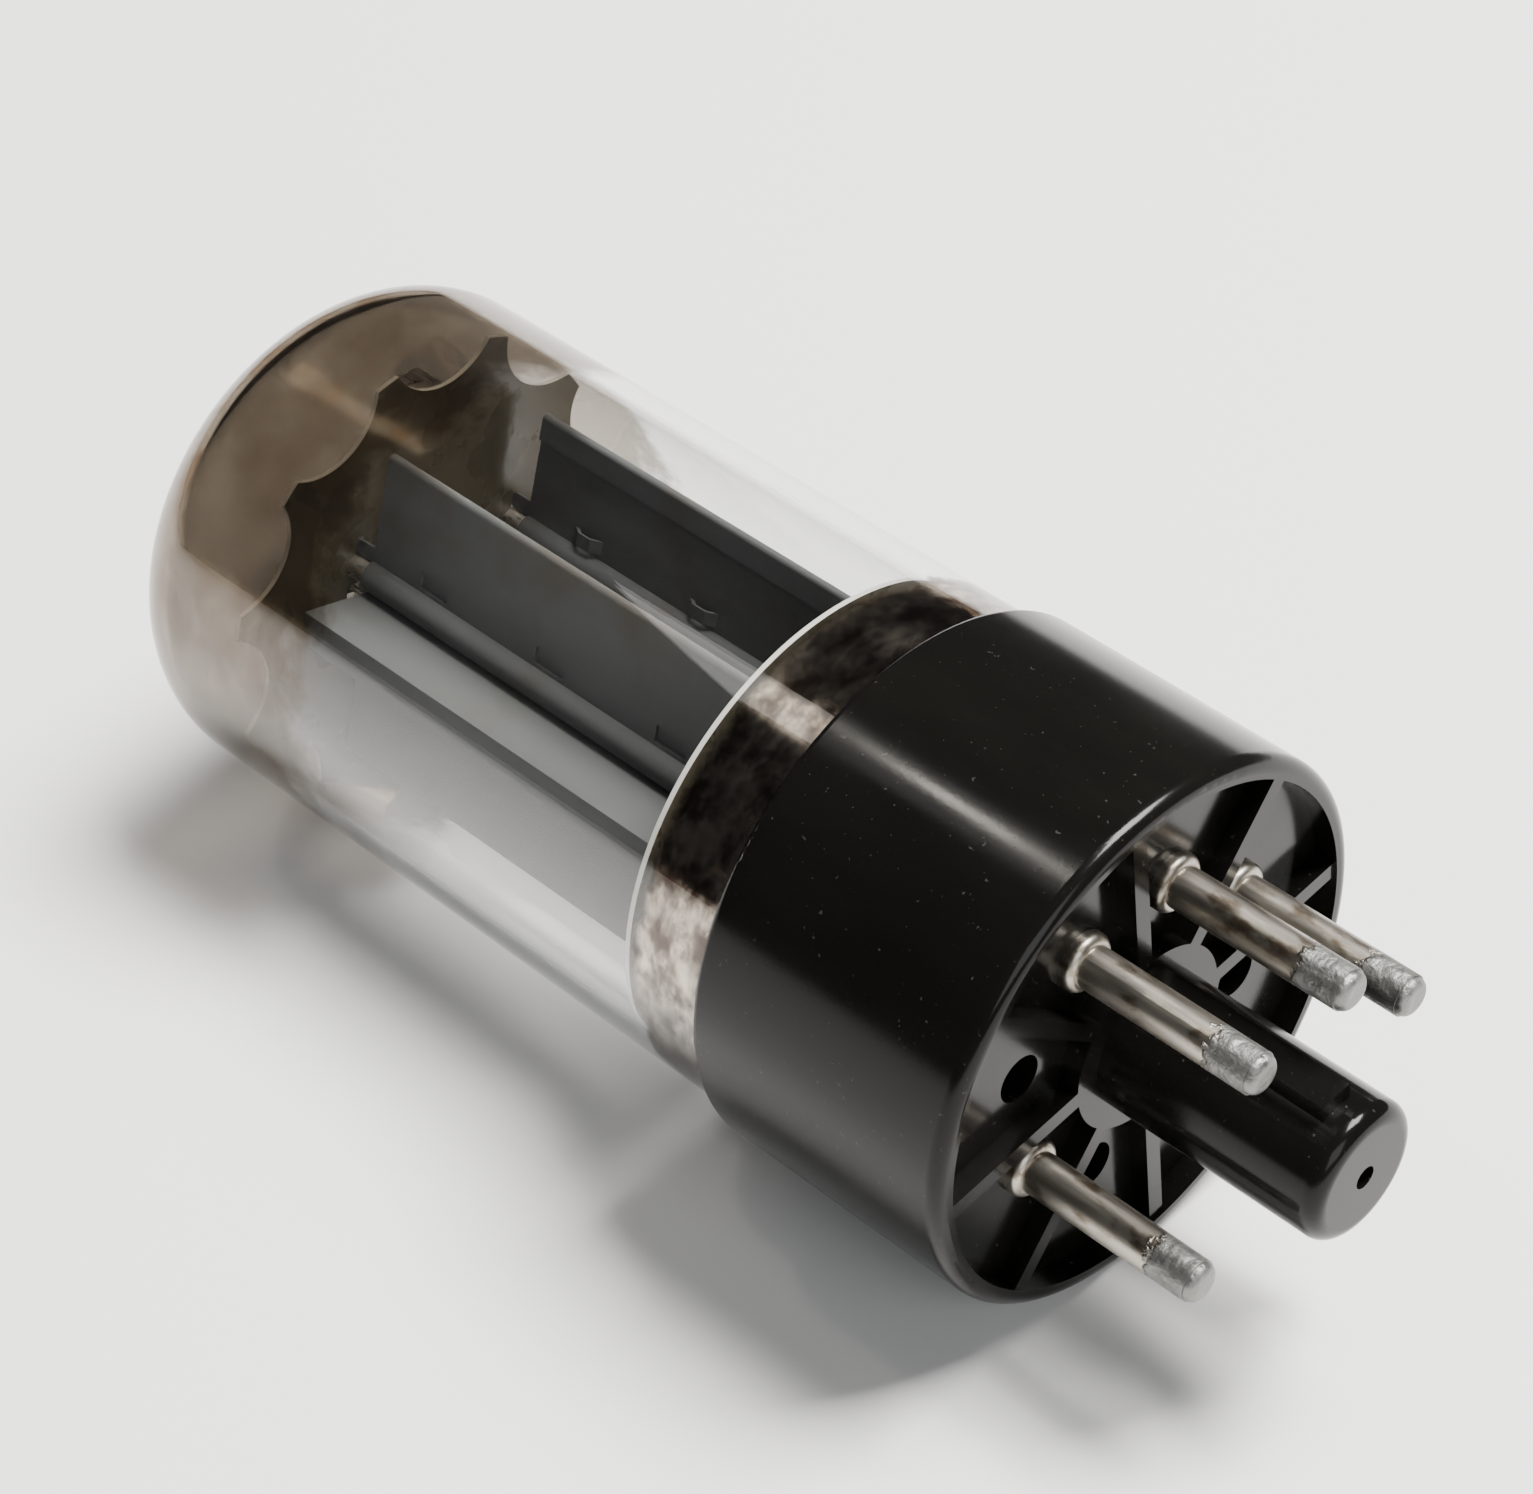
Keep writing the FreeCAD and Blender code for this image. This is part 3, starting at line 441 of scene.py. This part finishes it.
def lathe(name, profile, closed):
    """A mesh turned round the X axis from (height, radius) points, and joined from the last
    point to the first if it is closed."""
    points = []
    faces = []
    for height, radius in profile:
        for index in range(LATHE_STEPS):
            angle = 2 * math.pi * index / LATHE_STEPS
            points.append((-height, radius * math.cos(angle), radius * math.sin(angle)))
    count = len(profile)
    rows = count if closed else count - 1
    for row in range(rows):
        here = row * LATHE_STEPS
        there = (row + 1) % count * LATHE_STEPS
        for index in range(LATHE_STEPS):
            after = (index + 1) % LATHE_STEPS
            faces.append((here + index, there + index, there + after, here + after))
    mesh = bpy.data.meshes.new(name)
    mesh.from_pydata(points, [], faces)
    mesh.update()
    mesh.polygons.foreach_set("use_smooth", [True] * len(faces))
    piece = bpy.data.objects.new(name, mesh)
    bpy.context.scene.collection.objects.link(piece)
    return piece


def dome_profile(inset, first_height):
    """Outer bulb profile moved inwards by inset, from first_height to the crown's middle: a
    straight wall, a shoulder arc and a crown arc that run into one another."""
    reach = CROWN_RADIUS - SHOULDER_RADIUS
    offset = GLASS_RADIUS - SHOULDER_RADIUS
    lean = math.asin(offset / reach)
    shoulder_height = DOME_TOP - CROWN_RADIUS + reach * math.cos(lean)
    shoulder = SHOULDER_RADIUS - inset
    crown = CROWN_RADIUS - inset
    points = []
    for index in range(WALL_STEPS):
        share = index / WALL_STEPS
        height = first_height + (shoulder_height - first_height) * share
        points.append((height, GLASS_RADIUS - inset))
    for index in range(SHOULDER_STEPS):
        angle = (math.pi / 2 - lean) * index / SHOULDER_STEPS
        points.append((shoulder_height + shoulder * math.sin(angle),
                       offset + shoulder * math.cos(angle)))
    last = math.asin(AXIS_GAP / crown)
    for index in range(CROWN_STEPS + 1):
        angle = lean + (last - lean) * index / CROWN_STEPS
        points.append((DOME_TOP - CROWN_RADIUS + crown * math.cos(angle),
                       crown * math.sin(angle)))
    return points


def bulb():
    """The glass itself, finely turned: outside up to the crown, and back down the inside."""
    outside = [(SEAL_HEIGHT, SEAL_RADIUS)]
    outside += dome_profile(0.0, NECK_HEIGHT)
    inside = [(SEAL_HEIGHT, SEAL_RADIUS - GLASS_WALL)]
    inside += dome_profile(GLASS_WALL, NECK_HEIGHT)
    return lathe("bulb", outside + inside[::-1], closed=True)


def assign(piece, material):
    """Make this the piece's only material."""
    piece.data.materials.clear()
    piece.data.materials.append(material)


def dress_nodes():
    """Give each carried-over node whose slot has a finish here the material of that slot."""
    finishes = {
        "black_phenolic": black_phenolic(),
        "plated_pin": plated_pin(),
        "solder": solder(),
        "cement": cement(),
        "stem_glass": clear_glass("stem_glass", (0.95, 0.97, 0.95)),
        "mica": mica_sheet(),
        "carbonised_nickel": carbonised_sheet(),
        "bright_nickel": bright_metal("bright_nickel", (0.66, 0.63, 0.58), 0.28),
        "oxide_coating": oxide_coating(),
        "lead_wire": bright_metal("lead_wire", (0.6, 0.42, 0.28), 0.35),
    }
    slots = {part["node"]: part["material_slot"] for part in frame["record"]["subparts"]}
    for node, piece in NODES.items():
        if slots[node] in finishes:
            assign(piece, finishes[slots[node]])


def dress_bulb():
    """The finely turned bulb takes the place of the CAD's own."""
    piece = bulb()
    assign(piece, clear_glass("bulb_glass", (0.98, 0.985, 0.98)))
    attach(piece, "root")
    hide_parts("glass_envelope")


def add_films():
    """The two getter films, on the inside of the dome and just above the base."""
    inset = GLASS_WALL - FILM_DEPTH
    dome = lathe("dome_getter_film", dome_profile(inset, DOME_FILM_START), closed=False)
    assign(dome, getter_film("dome_getter_film", (0.15, 0.085, 0.038), (0.31, 0.26, 0.20),
                             (0.46, 0.42, 0.37), dome_solid, dome_present))
    rise = (BAND_FILM_END - BAND_FILM_START) / BAND_STEPS
    profile = [(BAND_FILM_START + rise * index, GLASS_RADIUS - inset)
               for index in range(BAND_STEPS + 1)]
    band = lathe("band_getter_film", profile, closed=False)
    assign(band, getter_film("band_getter_film", (0.060, 0.038, 0.026), (0.52, 0.45, 0.37),
                             (0.20, 0.13, 0.08), band_solid, band_present))
    for film in (dome, band):
        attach(film, "root")


# Setting ---------------------------------------------------------------------------------------

def add_floor():
    """A wide pale floor at the tube's lowest line."""
    low = cad_low[2]
    corners = [(FLOOR_REACH * x, FLOOR_REACH * y, low)
               for x, y in ((-1, -1), (1, -1), (1, 1), (-1, 1))]
    mesh = bpy.data.meshes.new("floor")
    mesh.from_pydata(corners, [], [(0, 1, 2, 3)])
    floor = bpy.data.objects.new("floor", mesh)
    bpy.context.scene.collection.objects.link(floor)
    assign(floor, new_material(
        "floor_paper", Base_Color=(0.90, 0.895, 0.885, 1.0), Roughness=0.8)[0])


def add_lamp(name, place, size, power, colour):
    """A soft square lamp that faces the tube's middle."""
    light = bpy.data.lights.new(name, "AREA")
    light.size = size
    light.energy = power
    light.color = colour
    lamp = bpy.data.objects.new(name, light)
    lamp.location = place
    aim = (Vector(LAMP_TARGET) - Vector(place)).to_track_quat("-Z", "Y")
    lamp.rotation_euler = aim.to_euler()
    bpy.context.scene.collection.objects.link(lamp)


def add_light():
    """A large key lamp above and behind the tube, a weak fill lamp and sky, and two small lamps
    that the dome mirrors."""
    world = bpy.data.worlds.new("studio")
    world.use_nodes = True
    background = world.node_tree.nodes["Background"]
    background.inputs["Color"].default_value = (0.95, 0.97, 1.0, 1.0)
    background.inputs["Strength"].default_value = WORLD_STRENGTH
    bpy.context.scene.world = world
    add_lamp("key_lamp", (0.16, 0.36, 0.92), 0.46, 38.0, (1.0, 0.98, 0.96))
    add_lamp("fill_lamp", (0.75, -0.35, 0.55), 0.6, 4.0, (0.96, 0.98, 1.0))
    add_lamp("ceiling_panel", (-0.52, -0.10, 0.92), 0.22, 0.34, (1.0, 0.98, 0.94))
    add_lamp("ceiling_lamp", (-0.50, -0.08, 0.90), 0.05, 0.5, (1.0, 0.96, 0.86))


def add_camera():
    """Looks down at the tube from the photograph's viewing angle, rolled a little on its axis."""
    camera = bpy.data.cameras.new("camera")
    camera.sensor_width = SENSOR
    camera.lens = LENS
    camera.clip_start, camera.clip_end = CLIP
    piece = bpy.data.objects.new("camera", camera)
    turn = Euler((math.pi / 2 - CAMERA_ELEVATION, 0.0, CAMERA_AZIMUTH)).to_matrix()
    roll = Matrix.Rotation(CAMERA_ROLL, 3, "Z")
    piece.matrix_world = Matrix.Translation(CAMERA_PLACE) @ (turn @ roll).to_4x4()
    bpy.context.scene.collection.objects.link(piece)
    bpy.context.scene.camera = piece


add_camera()
add_floor()
add_light()
dress_nodes()
dress_bulb()
add_films()
